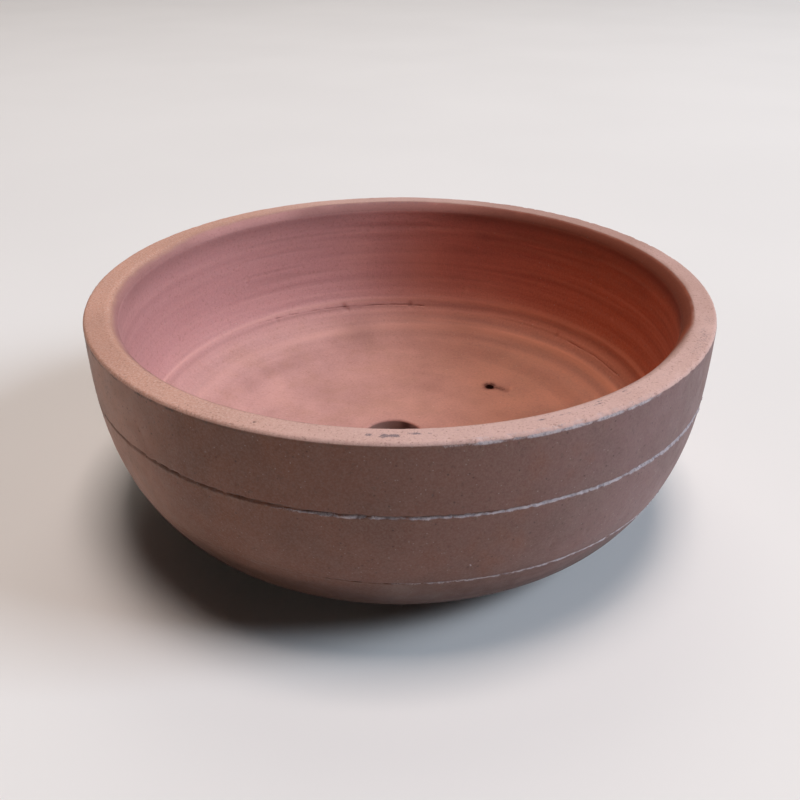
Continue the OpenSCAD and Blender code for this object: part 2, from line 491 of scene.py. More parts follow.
def floor_marks(r, p):
    """The marks on the floor inside, at the points p and that far from its middle."""
    x, y = p[..., 0], p[..., 1]
    d = 0.14 * noise(p, 33, 18) + 0.035 * noise(p, 6, 19)
    around = np.stack([x / 60, y / 60, r / 2.4], -1)
    rings = noise(around, 1, 21)
    d = d + 0.02 * rings * smooth(r, 15, 40)
    blotch = noise(p, 15, 25) + 0.6 * noise(p, 6, 26)
    wash = np.clip(0.22 * blotch + 0.08 * rings, 0, 0.3)
    wash = wash + 0.3 * window(r, 82, 87, 3) * (0.6 + 0.5 * noise(p, 30, 23)) + smudges(p)
    worn = np.clip(-0.4 * blotch, 0, 0.4)
    stain = np.zeros_like(d)
    # Beside each tie-wire hole, the mark where the tool dragged the clay away from it
    drag_x, drag_y = 0.915, -0.404
    for (hx, hy), side in zip(TIE_HOLES, (1, -1)):
        along = side * ((x - hx) * drag_x + (y - hy) * drag_y)
        across = (y - hy) * drag_x - (x - hx) * drag_y
        mark = window(along, 1.5, 9.0, 2.5) * bell(across - 0.5 * np.sin(along * 0.5), 2.5)
        heap = bell(along - 10.3, 1.2) * bell(across - 1.2, 1.3)
        hole = np.hypot(x - hx, y - hy) - TIE_R
        collar = bell(hole - 0.9, 0.6)
        d = d - 0.45 * mark + 0.3 * heap + 0.14 * collar * (0.6 + 0.6 * noise(p, 2, 22))
        # Painted shade round each hole's mouth and in the drag mark's groove
        wash = most(wash, mark * (0.85 + 0.4 * noise(p, 2.5, 24)), 1 - smooth(hole, 0.6, 3.2))
        stain = most(stain, 0.9 * (1 - smooth(hole, 0.3, 2.0)),
                     0.6 * mark * window(along, 1.5, 7.0, 2.5))
        worn = most(worn, heap)
    return tones(d, wash=unit(wash), worn=worn, stain=stain)


# ---- Section points
MARKS = ("dust", "stain", "ash", "wash", "worn", "inside", "rim")


def angles(steps):
    """That many even angles round the pot, in radians."""
    return np.arange(steps) * 2 * math.pi / steps


def ring_of(theta, r, z, normal, marks, inside=0.0, rim=0.0, centre_x=0.0):
    """One ring of points: the ideal radius and height, pushed along the normal by the marks."""
    points = in_space(theta, r + marks["depth"] * normal[0], z + marks["depth"] * normal[1])
    points[:, 0] += centre_x
    marks = dict(marks, inside=inside, rim=rim)
    values = {mark: marks[mark] * np.ones_like(theta) for mark in MARKS}
    return {"points": points, "values": values}


def outside_ring(theta, z):
    r, lean = outer_r(z), outer_slope(z)
    size = np.hypot(1, lean)
    marks = outside_marks(theta, in_space(theta, r, z))
    return ring_of(theta, r, z, (1 / size, -lean / size), marks)


def arris_ring(theta, turned):
    """A ring on the rim's small outer round, turned from 0 (outside) to 90 degrees (top)."""
    a = math.radians(turned)
    r = BELLY_R - ARRIS_R * (1 - math.cos(a))
    z = POT_H - ARRIS_R * (1 - math.sin(a))
    p = in_space(theta, r, z)
    marks = blend(outside_marks(theta, p), rim_marks(theta, r, p), turned / 90)
    return ring_of(theta, r, z, (math.cos(a), math.sin(a)), marks, rim=1.0)


def rim_ring_at(theta, r):
    marks = rim_marks(theta, r, in_space(theta, r, POT_H))
    return ring_of(theta, r, POT_H, (0, 1), marks, rim=1.0)


def lip_ring(theta, turned):
    """A ring on the bevel inside the rim, turned from 0 (top) to 90 degrees (inside)."""
    a = math.radians(turned)
    r = INNER_R + LIP_W * (1 - math.sin(a) ** (2 / LIP_N))
    z = POT_H - LIP_DROP * (1 - math.cos(a) ** (2 / LIP_N))
    p = in_space(theta, r, z)
    marks = blend(rim_marks(theta, r, p), inside_marks(theta, p), turned / 90)
    # The rim's sandy skin runs over the bevel at the front right, and stops short of it elsewhere
    front = arc(theta, 285, 320, 30)
    left = arc(theta, 160, 225, 20)
    behind = arc(theta, -18, 104, 24)
    frost = arc(theta, 88, 150, 22)
    skin = most(front, 0.4 * left) + 0.12 * noise(p, 5, 62)
    inside = smooth(turned, 50 * skin - 14 * behind, 50 * skin + 38 - 16 * behind)
    # Painted shade on the bevel: dim is strongest behind and on the left and weakest at the front
    # right, and dark adds more on the right and behind
    dim = (0.6 + 0.5 * behind + 0.3 * left) * (1 - 0.7 * front) * (0.9 + 0.2 * noise(p, 9, 59))
    dim = dim * (1 + 0.4 * behind * smooth(turned, 30, 75))
    dark = arc(theta, -25, 60, 20) * window(turned, 30, 75, 20)
    marks["wash"] = unit(most(marks["wash"], inside * dim)) + 0.35 * dark
    marks["ash"] = most(marks["ash"], (0.35 * frost + 0.2 * behind) * inside * (1 - turned / 110))
    return ring_of(theta, r, z, (-math.sin(a), math.cos(a)), marks, inside, 1 - inside)


def inside_ring(theta, z):
    r, lean = inner_r(z), slope(inner_r, z)
    size = np.hypot(1, lean)
    marks = inside_marks(theta, in_space(theta, r, z))
    return ring_of(theta, r, z, (-1 / size, lean / size), marks, inside=1.0)


def drain_centre(r):
    """Where a ring on the floor or the underside has its centre: on the drain hole's, near it."""
    return DRAIN_X * (1 - smooth(r, DRAIN_R + 2, 45))


def floor_ring(theta, r, wall_share=0.0):
    """A ring on the floor inside."""
    z = inner_z(r)
    lean = slope(inner_z, r)
    size = math.hypot(1, lean)
    centre_x = drain_centre(r)
    p = in_space(theta, r, z)
    p[..., 0] += centre_x
    marks = floor_marks(r + 0 * theta, p)
    if wall_share:
        marks = blend(marks, inside_marks(theta, p), wall_share)
    z = z - edge_rounding(r - DRAIN_R)
    return ring_of(theta, r, z, (-lean / size, 1 / size), marks, inside=1.0, centre_x=centre_x)


def edge_rounding(distance):
    """How far a hole's rounded edge has dropped at that distance from the hole's wall."""
    away = unit(1 - distance / HOLE_EDGE)
    return HOLE_EDGE * (1 - np.sqrt(1 - away ** 2))


def plain_ring(theta, r, z, normal, rough, seed, centre_x=0.0):
    """A ring on a hole's wall or a joint's face."""
    p = in_space(theta, r, z)
    depth = rough * (noise(p, 14, seed) + 0.4 * noise(p, 3, seed + 1))
    cloud = noise(p, 6, seed + 2)
    worn = unit(0.6 + 1.6 * cloud)
    wash = unit(0.1 - 1.6 * cloud)
    marks = tones(depth, worn=worn, wash=wash)
    return ring_of(theta, r, z, normal, marks, inside=0.3, centre_x=centre_x)


def face_rings(theta, joint, inwards):
    """Rings across a joint's hidden face, between the outer line and the inner edge."""
    outer = outer_r(line_z(joint, theta)) - FACE_INSET
    inner = inner_r(joint_inner_z(joint, theta)) + FACE_INSET
    rings = []
    for share in (0, 0.5, 1) if inwards else (1, 0.5, 0):
        r = outer + (inner - outer) * share
        z = joint_z(joint, theta, r)
        rings.append(plain_ring(theta, r, z, (0, 0), 0.0, 1))
    return rings


def wall_between(ring_at, theta, first_z, last_z, length, near_first=False, near_last=False):
    """Rings on a wall from one height to another. The usual distance between those heights is
    given, and the rings are closer together beside the ends asked for."""
    first = EDGE_OFFSETS if near_first else [0]
    last = [length - o for o in EDGE_OFFSETS[::-1]] if near_last else [length]
    count = round((last[0] - first[-1]) / WALL_PITCH)
    middle = np.linspace(first[-1], last[0], count + 1)[1:-1]
    shares = np.concatenate([first, middle, last]) / length
    return [ring_at(theta, first_z + (last_z - first_z) * share) for share in shares]


# ---- Meshes
def stitch(first, second, start_a, start_b):
    """Faces between two neighbouring rings. One may have half as many points as the other."""
    many, few = len(first["points"]), len(second["points"])
    if many < few:
        return [faces[:, ::-1] for faces in stitch(second, first, start_b, start_a)]
    i = np.arange(few)
    j = (i + 1) % few
    if many == few:
        return [np.stack([start_a + i, start_b + i, start_b + j, start_a + j], -1)]
    m0, m1, m2 = 2 * i, 2 * i + 1, (2 * i + 2) % many
    corner = np.stack([start_a + m0, start_b + i, start_a + m1], -1)
    quad = np.stack([start_a + m1, start_b + i, start_b + j, start_a + m2], -1)
    return [corner, quad]


def ring_starts(rings):
    """Index of each ring's first point in the whole mesh."""
    return np.cumsum([0] + [len(ring["points"]) for ring in rings])


def sweep(rings):
    """Points, faces and mark values of a closed shell through a loop of rings."""
    starts = ring_starts(rings)
    faces = []
    for i, ring in enumerate(rings):
        j = (i + 1) % len(rings)
        for group in stitch(ring, rings[j], starts[i], starts[j]):
            faces += group.tolist()
    points = np.concatenate([ring["points"] for ring in rings])
    values = {mark: np.concatenate([ring["values"][mark] for ring in rings]) for mark in MARKS}
    return points, faces, values


def add_object(name, data):
    """A new object of the scene with that mesh, camera or light."""
    made = bpy.data.objects.new(name, data)
    bpy.context.scene.collection.objects.link(made)
    return made


def make_piece(node, slot, points, faces, values):
    """A shaded mesh object in metres, of one slot's clay, that replaces one CAD node."""
    name, material = node + "_clay", slot + "_fired"
    mesh = bpy.data.meshes.new(name)
    mesh.from_pydata((points * MM).tolist(), [], faces)
    mesh.validate()
    for mark in MARKS:
        layer = mesh.attributes.new(mark, "FLOAT", "POINT")
        layer.data.foreach_set("value", values[mark].astype(np.float32))
    mesh.polygons.foreach_set("use_smooth", [True] * len(mesh.polygons))
    mesh.set_sharp_from_angle(angle=math.radians(SHARP_ANGLE))
    mesh.materials.append(bpy.data.materials.get(material) or fired_clay(material))
    piece = add_object(name, mesh)
    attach(piece, "root")
    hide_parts(node)


def rim_rings():
    """The top ring: down the outside, in along the joint, up the inside and over the rim."""
    theta = angles(STEPS)
    top = POT_H - ARRIS_R
    line = line_z(UPPER_JOINT, theta)
    inner = joint_inner_z(UPPER_JOINT, theta)
    length = UPPER_JOINT["drop"] - ARRIS_R
    rings = wall_between(outside_ring, theta, top, line, length, True, True)
    rings += face_rings(theta, UPPER_JOINT, True)
    rings += wall_between(inside_ring, theta, inner, POT_H - LIP_DROP, RIM_INSIDE)
    rings += [lip_ring(theta, turned) for turned in (75, 60, 45, 30, 15)]
    flat = np.linspace(INNER_R + LIP_W, BELLY_R - ARRIS_R, 11)
    rings += [rim_ring_at(theta, r) for r in flat]
    rings += [arris_ring(theta, turned) for turned in (72, 54, 36, 18)]
    return rings


def wall_rings():
    """The middle ring, between the two joints."""
    theta = angles(STEPS)
    high, low = line_z(UPPER_JOINT, theta), line_z(LOWER_JOINT, theta)
    length = LOWER_JOINT["drop"] - UPPER_JOINT["drop"]
    rings = wall_between(outside_ring, theta, high, low, length, True, True)
    rings += face_rings(theta, LOWER_JOINT, True)
    high, low = joint_inner_z(UPPER_JOINT, theta), joint_inner_z(LOWER_JOINT, theta)
    rings += wall_between(inside_ring, theta, low, high, length, True)
    rings += face_rings(theta, UPPER_JOINT, False)
    return rings


HEEL_Z = FOOT_H + HEEL_H
HEEL_A = math.atan(outer_slope(HEEL_Z))
HEEL_R = HEEL_H / (1 - math.sin(HEEL_A))
HEEL_X = outer_r(HEEL_Z) - HEEL_R * math.cos(HEEL_A)
TIE_RING = math.hypot(*TIE_HOLES[0])
TIE_PITCH = 0.65                # distance between section points beside the tie-wire holes
TIE_REACH = 8                   # the holes reshape this many points on each side
TIE_EDGE = 3                    # how many points from the middle the hole's edge is
TIE_SUNK = 0.35                 # how far the hole's edge is sunk below the face round it
TIE_BAND = TIE_RING + TIE_PITCH * np.arange(-TIE_REACH, TIE_REACH + 1)
FLOOR_TURN_R = 100.0            # inside this radius the rings follow r, outside it height


def base_rings():
    """The base dish: outside, heel, underside, drain hole, floor, and up to the lower joint."""
    fine, middle, coarse = angles(STEPS), angles(HALF_STEPS), angles(STEPS // 4)
    line = line_z(LOWER_JOINT, fine)
    length = POT_H - LOWER_JOINT["drop"] - HEEL_Z
    rings = wall_between(outside_ring, fine, line, HEEL_Z, length, True)
    for share in np.linspace(0, 1, 9)[1:]:
        rings.append(heel_ring(fine, HEEL_A + (math.pi / 2 - HEEL_A) * share))
    outer_under = np.linspace(HEEL_X - 3, TIE_BAND[-1] + 2, 4)
    tie_under = len(rings) + len(outer_under)
    rings += [underside_ring(middle, r) for r in (*outer_under, *TIE_BAND[::-1], 56, 50)]
    rings += [underside_ring(coarse, r) for r in (42, 32, 22, DRAIN_R + HOLE_EDGE, DRAIN_R + 0.45)]
    for z in np.linspace(FOOT_H + HOLE_EDGE, inner_z(DRAIN_R) - HOLE_EDGE, 7):
        rings.append(plain_ring(coarse, DRAIN_R, z, (-1, 0), 0.12, 61, DRAIN_X))
    near = [DRAIN_R + d for d in (0.12, 0.4, 0.75, 1.15, 1.8)]
    rings += [floor_ring(coarse, r) for r in near + list(np.arange(17, 41, 2.0))]
    rings += [floor_ring(middle, r) for r in np.arange(42, TIE_BAND[0] - 1, 2.2)]
    tie_floor = len(rings)
    rings += [floor_ring(middle, r) for r in TIE_BAND]
    outer_floor = np.linspace(TIE_BAND[-1], FLOOR_TURN_R, 21)[1:]
    rings += [floor_ring(middle, r, float(smooth(r, 86, 100))) for r in outer_floor]
    top = joint_inner_z(LOWER_JOINT, fine)
    turn_z = inner_z(FLOOR_TURN_R)
    rings += wall_between(inside_ring, fine, turn_z, top, DISH_INSIDE, False, True)[1:]
    rings += face_rings(fine, LOWER_JOINT, False)
    return rings, tie_under, tie_floor


def heel_ring(theta, a):
    """A ring on the round heel, turned a radians down from level."""
    r = HEEL_X + HEEL_R * math.cos(a)
    z = FOOT_H + HEEL_R * (1 - math.sin(a))
    marks = outside_marks(theta, in_space(theta, r, z))
    return ring_of(theta, r, z, (math.cos(a), -math.sin(a)), marks)


def underside_ring(theta, r):
    """A ring on the underside, wiped flat on the wheel."""
    centre_x = drain_centre(r)
    z = FOOT_H + edge_rounding(r - DRAIN_R)
    p = in_space(theta, r, z)
    turned = noise(np.stack([p[..., 0] / 50, p[..., 1] / 50, r / 3.0 + 0 * theta], -1), 1, 63)
    depth = 0.1 * noise(p, 14, 64) + 0.04 * noise(p, 3, 65) + 0.05 * turned
    worn = unit(0.25 + 0.2 * noise(p, 20, 66) + 0.2 * turned)
    wash = smooth(r, 55, HEEL_X + 1) * (0.7 + 0.2 * noise(p, 26, 67))
    marks = tones(depth, worn=worn, wash=wash)
    return ring_of(theta, r, z, (0, -1), marks, centre_x=centre_x)


def drill_tie_holes(rings, tie_under, tie_floor, points, faces):
    """Opens both tie-wire holes. The grid round each is drawn in to a circle on the floor and
    the underside, the cells inside the circles go, and a wall joins the two circles."""
    starts = ring_starts(rings)
    dropped = set()
    walls = []
    for hx, hy in TIE_HOLES:
        middle = round(math.atan2(hy, hx) / (2 * math.pi) * HALF_STEPS) % HALF_STEPS
        edges = []
        for first, outwards, inwards_z in ((tie_floor, 1, -1), (tie_under, -1, 1)):

            def place(a, b):
                """Index of the point a columns and b section points from the hole, b outwards."""
                return starts[first + TIE_REACH + outwards * b] + (middle + a) % HALF_STEPS

            draw_to_circle(points, place, inwards_z, middle, hx, hy)
            edges.append([place(a, b) for a, b in square_path(TIE_EDGE)])
            dropped |= cells_inside(place)
        walls += hole_wall(*edges)
    return [f for f in faces if not (len(f) == 4 and frozenset(f) in dropped)] + walls


def draw_to_circle(points, place, inwards_z, middle, hx, hy):
    """Moves the grid points round a hole so that one square of them becomes its round edge."""
    around = math.atan2(hy, hx)
    reach = range(-TIE_REACH, TIE_REACH + 1)
    for a in reach:
        for b in reach:
            m = max(abs(a), abs(b))
            if m < TIE_EDGE or m == TIE_REACH:
                continue
            share = (m - TIE_EDGE) / (TIE_REACH - TIE_EDGE)
            angle = (middle + a * TIE_REACH / m) * 2 * math.pi / HALF_STEPS
            r = TIE_RING + b * TIE_REACH / m * TIE_PITCH
            facing = around + math.atan2(a, b)
            near = np.array([hx + TIE_R * math.cos(facing), hy + TIE_R * math.sin(facing)])
            far = np.array([r * math.cos(angle), r * math.sin(angle)])
            points[place(a, b), :2] = near + (far - near) * share
            if m == TIE_EDGE:
                points[place(a, b), 2] += inwards_z * TIE_SUNK


def square_path(m):
    """Steps round a square of half width m, in one turn."""
    side = range(-m, m)
    return ([(a, m) for a in side] + [(m, -b) for b in side]
            + [(-a, -m) for a in side] + [(-m, b) for b in side])


def cells_inside(place):
    """The quads of the grid that lie inside a hole's edge."""
    found = set()
    for a in range(-TIE_EDGE, TIE_EDGE):
        for b in range(-TIE_EDGE, TIE_EDGE):
            corners = [(a, b), (a + 1, b), (a, b + 1), (a + 1, b + 1)]
            found.add(frozenset(place(*corner) for corner in corners))
    return found


def hole_wall(floor_edge, under_edge):
    """Quads down a hole from the floor's circle to the underside's."""
    next_floor, next_under = (edge[1:] + edge[:1] for edge in (floor_edge, under_edge))
    return [list(quad) for quad in zip(next_floor, next_under, under_edge, floor_edge)]


def without_loose(points, faces, values):
    """Drops the points that no face uses."""
    used = sorted({i for face in faces for i in face})
    place = {old: new for new, old in enumerate(used)}
    faces = [[place[i] for i in face] for face in faces]
    return points[used], faces, {mark: v[used] for mark, v in values.items()}


def foot_shell(node):
    """A low foot: a soft-edged block bent along the foot ring, pressed on by hand."""
    low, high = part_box(node)
    middle = math.atan2((low.y + high.y) / 2, (low.x + high.x) / 2)
    half = np.array([FOOT_RING_R * math.radians(FOOT_SPAN / 2), FOOT_W / 2, FOOT_H / 2])
    points, faces = box_grid(FOOT_CELLS)
    core = np.clip(points * half, FOOT_SOFT - half, half - FOOT_SOFT)
    away = points * half - core
    length = np.maximum(np.linalg.norm(away, axis=1, keepdims=True), 1e-9)
    p = core + away / length * np.minimum(length, FOOT_SOFT)
    rough = 0.25 * noise(p + middle * 30, 9, 71) + 0.1 * noise(p + middle * 30, 3, 72)
    lower = smooth(-p[:, 2], -2, 2)
    p[:, 1] += np.sign(p[:, 1]) * (0.8 * rough - 0.5 * lower)
    p[:, 0] += np.sign(p[:, 0]) * (rough - 0.8 * lower)
    p[:, 1] *= 1 + 0.1 * smooth(p[:, 2], 1.5, 4.0)
    angle = middle + p[:, 0] / FOOT_RING_R
    r = FOOT_RING_R + p[:, 1]
    z = np.clip(p[:, 2] + FOOT_H / 2, 0, FOOT_H)
    world = np.stack([r * np.cos(angle), r * np.sin(angle), z], -1)
    return world, faces, {mark: np.zeros(len(world)) for mark in MARKS}


def box_grid(cells):
    """A box from -1 to 1, with its faces cut into a grid and its corners shared."""
    index, faces = {}, []
    for axis, u, v in ((2, 0, 1), (1, 0, 2), (0, 1, 2)):
        for side in (0, cells[axis]):
            for i in range(cells[u]):
                for j in range(cells[v]):
                    face = []
                    for du, dv in ((0, 0), (1, 0), (1, 1), (0, 1)):
                        at = [side, side, side]
                        at[u], at[v] = i + du, j + dv
                        face.append(index.setdefault(tuple(at), len(index)))
                    faces.append(face if (side == 0) != (axis == 1) else face[::-1])
    return 2 * np.array(list(index)) / cells - 1, faces


# ---- Materials
class Clay:
    """Short calls for building the node tree of one material, of clay or paper."""

    def __init__(self, name):
        self.material = bpy.data.materials.new(name)
        self.material.use_nodes = True
        self.tree = self.material.node_tree
        self.tree.nodes.clear()
        self.place = self.tree.nodes.new("ShaderNodeTexCoord").outputs["Object"]

    def node(self, kind, inputs=(), **settings):
        """A new node, with each input linked or set, and its settings."""
        made = self.tree.nodes.new(kind)
        for key, value in settings.items():
            setattr(made, key, value)
        for key, value in dict(inputs).items():
            if isinstance(value, bpy.types.NodeSocket):
                self.tree.links.new(value, made.inputs[key])
            else:
                made.inputs[key].default_value = value
        return made

    def finished(self, shader):
        """The material, with the shader on its surface."""
        self.node("ShaderNodeOutputMaterial", {"Surface": shader.outputs[0]})
        return self.material

    def mark(self, name):
        """A mark that the mesh carries, from 0 to 1."""
        return self.node("ShaderNodeAttribute", attribute_name=name).outputs["Fac"]

    def noise(self, size_mm, detail, rough, stretch=None):
        """Noise from 0 to 1, with lumps of about that many millimetres."""
        vector = self.place
        if stretch:
            vector = self.node("ShaderNodeMapping", {"Vector": vector, "Scale": stretch}).outputs[0]
        inputs = {"Scale": 1 / (size_mm * MM), "Detail": detail, "Roughness": rough}
        return self.node("ShaderNodeTexNoise", {"Vector": vector, **inputs}).outputs["Fac"]

    def step(self, value, low, high, to_low=0.0, to_high=1.0):
        """Maps low..high smoothly on to to_low..to_high."""
        names = ("Value", "From Min", "From Max", "To Min", "To Max")
        inputs = zip(names, (value, low, high, to_low, to_high))
        return self.node("ShaderNodeMapRange", inputs, interpolation_type="SMOOTHSTEP").outputs[0]

    def math(self, operation, a, b):
        return self.node("ShaderNodeMath", {0: a, 1: b}, operation=operation).outputs[0]

    def times(self, a, b):
        return self.math("MULTIPLY", a, b)

    def mix(self, share, a, b):
        """Colour a where the share is 0, and b where it is 1."""
        return self.node("ShaderNodeMixRGB", {"Fac": share, "Color1": a, "Color2": b}).outputs[0]

    def tint(self, colour, share, strength, tone):
        """The colour with another tone laid over it, at that strength where the share is 1."""
        return self.mix(self.times(share, strength), colour, tone)

    def clouds(self, size_mm, detail, rough, low, high, top=1.0, stretch=None):
        """Patches from 0 to top, where the noise runs from low to high."""
        return self.step(self.noise(size_mm, detail, rough, stretch), low, high, 0.0, top)

    def along(self, axis, low, high):
        """0 below one place along an axis of the pot and 1 above another, both in millimetres."""
        place = self.node("ShaderNodeSeparateXYZ", {"Vector": self.place}).outputs[axis]
        return self.step(place, low * MM, high * MM)

    def ragged(self, name, size_mm):
        """A mark of the mesh with its soft edge broken up at the size of the grains."""
        grain = self.times(self.noise(size_mm, 2, 0.6), 1.3)
        return self.step(self.times(self.mark(name), grain), 0.2, 0.5)

    def grog(self, size_mm, share):
        """Scattered grains: 1 on a small share of cells of about that size, 0 elsewhere."""
        inputs = {"Vector": self.place, "Scale": 1 / (size_mm * MM)}
        cells = self.node("ShaderNodeTexVoronoi", inputs)
        picked = self.node("ShaderNodeSeparateColor", {"Color": cells.outputs["Color"]}).outputs[0]
        chosen = self.step(picked, 1 - share, 1 - share * 0.9)
        grain = self.step(cells.outputs["Distance"], 0.42, 0.25)
        return self.times(chosen, grain)


def rgb(red, green, blue):
    return (red, green, blue, 1.0)


# Two colours are those of the pot's -X side and of its +X side; the difference between them is
# painted light.
# Outside and on the rim the +X side is greyer and cooler, a painted sheen of the cool light from
# there; inside and on the floor the +X side is painted shade, deeper red, and the -X side is the
# paler lit side.
OUTSIDE = [rgb(0.20, 0.07, 0.036), rgb(0.20, 0.097, 0.084)]
# Painted reflections at the outer wall's sides: a pale one at the -X edge, a greyer, cooler one on
# the +X side
OUTSIDE_PAINTED_EDGE_LIGHT = [rgb(0.49, 0.25, 0.178), rgb(0.245, 0.138, 0.14)]
INSIDE = [rgb(0.56, 0.279, 0.276), rgb(0.54, 0.12, 0.045)]
FLOOR = [rgb(0.465, 0.26, 0.243), rgb(0.46, 0.203, 0.14)]
RIM = [rgb(0.56, 0.29, 0.21), rgb(0.605, 0.395, 0.36)]
OUTSIDE_SHADE = rgb(0.05, 0.028, 0.02)
# Colours of dirt and of painted shade
OUTSIDE_DIRT_AND_SHADE = rgb(0.044, 0.015, 0.006)
OUTSIDE_WEAR_AND_REFLECTION = rgb(0.31, 0.245, 0.22)
INSIDE_SHADE = rgb(0.10, 0.03, 0.022)
INSIDE_DIRT_AND_SHADE = [rgb(0.17, 0.066, 0.056), rgb(0.125, 0.024, 0.011)]
INSIDE_PALE_AND_HIGHLIGHT = [rgb(0.80, 0.45, 0.39), rgb(0.86, 0.34, 0.19)]
# Pale dusty colours, partly painted highlights on the rim's outer edge and the scored lines' lit
# edges
DUST_AND_HIGHLIGHT = [rgb(0.51, 0.435, 0.455), rgb(0.31, 0.265, 0.29)]     # mixed grain by grain
ASH = rgb(0.125, 0.11, 0.13)
# Clouds of other tones on a face: what Clay.clouds takes, then the tone
OUTSIDE_CLOUDS = [
    (30, 4, 0.6, 0.4, 0.66, 0.26, None, rgb(0.09, 0.05, 0.04)),
    (21, 4, 0.6, 0.54, 0.74, 0.36, (1, 1, 0.8), rgb(0.23, 0.075, 0.035)),
    (0.8, 2, 0.7, 0.35, 0.7, 0.3, None, rgb(0.3, 0.2, 0.16)),
    (1.2, 3, 0.7, 0.54, 0.74, 0.4, None, rgb(0.07, 0.04, 0.03)),
]
RIM_CLOUDS = [
    (16, 3, 0.5, 0.35, 0.68, 0.22, None, rgb(0.4, 0.23, 0.18)),
    (0.8, 3, 0.75, 0.42, 0.64, 0.55, None, rgb(0.68, 0.47, 0.40)),
    (0.95, 2, 0.6, 0.57, 0.72, 0.55, None, rgb(0.26, 0.14, 0.11)),
]


def outside_colour(clay):
    """Burnished dark brown, with redder clouds and pale grains of grog; greyer and cooler towards
    +X, a painted sheen, and paler at the -X edge, a painted reflection.
    """
    # Painted sheen of the cool light on the +X side, and painted reflections at both sides
    colour = clay.mix(clay.along("X", -75, 75), *OUTSIDE)
    colour = clay.mix(clay.along("X", -106, -62), OUTSIDE_PAINTED_EDGE_LIGHT[0], colour)
    colour = clay.mix(clay.along("X", 28, 98), colour, OUTSIDE_PAINTED_EDGE_LIGHT[1])
    for *cloud, tone in OUTSIDE_CLOUDS:
        colour = clay.mix(clay.clouds(*cloud), colour, tone)
    colour = clay.tint(colour, clay.grog(0.7, 0.022), 0.6, rgb(0.34, 0.27, 0.24))
    colour = clay.tint(colour, clay.grog(1.1, 0.02), 0.5, rgb(0.04, 0.025, 0.02))
    # Painted shade low on the outer wall, and darker patches underneath and on the hidden faces
    colour = clay.tint(colour, clay.mark("wash"), 0.76, OUTSIDE_DIRT_AND_SHADE)
    # Paler crumbs and wiped patches, and the painted reflection along the left side
    return clay.tint(colour, clay.mark("worn"), 0.5, OUTSIDE_WEAR_AND_REFLECTION)


def inside_colour(clay):
    """Bare red clay, streaked by the throwing, with soft clouds and a dusty floor; paler on its lit
    -X side and deeper red on its +X side, which is painted shade.
    """
    # Painted light across the pot: the -X side paler and lit, the +X side deeper red in painted
    # shade, on the wall and the floor
    wall = clay.mix(clay.along("X", -45, 112), *INSIDE)
    floor = clay.mix(clay.along("X", -75, 90), *FLOOR)
    blotch = clay.clouds(17, 3, 0.6, 0.4, 0.7, 0.35)
    floor = clay.mix(blotch, floor, rgb(0.36, 0.19, 0.13))
    colour = clay.mix(clay.along("Z", 27, 48), floor, wall)
    cloud = clay.clouds(38, 3, 0.5, 0.35, 0.68, 0.06)
    colour = clay.mix(cloud, colour, rgb(0.3, 0.11, 0.08))
    streak = clay.clouds(9, 4, 0.6, 0.35, 0.7, 0.12, (0.12, 0.12, 5.0))
    pale = clay.mix(clay.along("X", -60, 90), *INSIDE_PALE_AND_HIGHLIGHT)
    colour = clay.mix(streak, colour, pale)
    fine = clay.clouds(1.0, 3, 0.7, 0.35, 0.7, 0.26)
    colour = clay.mix(fine, colour, clay.mix(0.3, pale, colour))
    dark = clay.clouds(1.4, 3, 0.7, 0.52, 0.72, 0.32)
    colour = clay.mix(dark, colour, rgb(0.3, 0.12, 0.085))
    colour = clay.tint(colour, clay.grog(1.0, 0.008), 0.5, rgb(0.6, 0.42, 0.34))
    # Paler streaks and patches, and the painted highlight on the rings' ridges
    colour = clay.tint(colour, clay.mark("worn"), 0.42, pale)
    # Dirt and painted shade: smudges and smears, and painted shade under the rim, on the bevel,
    # below the rings and in the nicks
    wash = clay.mix(clay.along("X", -60, 90), *INSIDE_DIRT_AND_SHADE)
    return clay.tint(colour, clay.mark("wash"), 0.62, wash)


def rim_colour(clay):
    """Sandy rim, worn to its grains, greyer and cooler on its +X side, a painted sheen of the light
    from there.
    """
    # Painted sheen of the cool light on the +X side of the rim
    colour = clay.mix(clay.along("X", -105, 15), *RIM)
    for *cloud, tone in RIM_CLOUDS:
        colour = clay.mix(clay.clouds(*cloud), colour, tone)
    # Darker patches, and painted shade along the rim's inner edge
    return clay.tint(colour, clay.mark("wash"), 0.6, rgb(0.30, 0.15, 0.11))


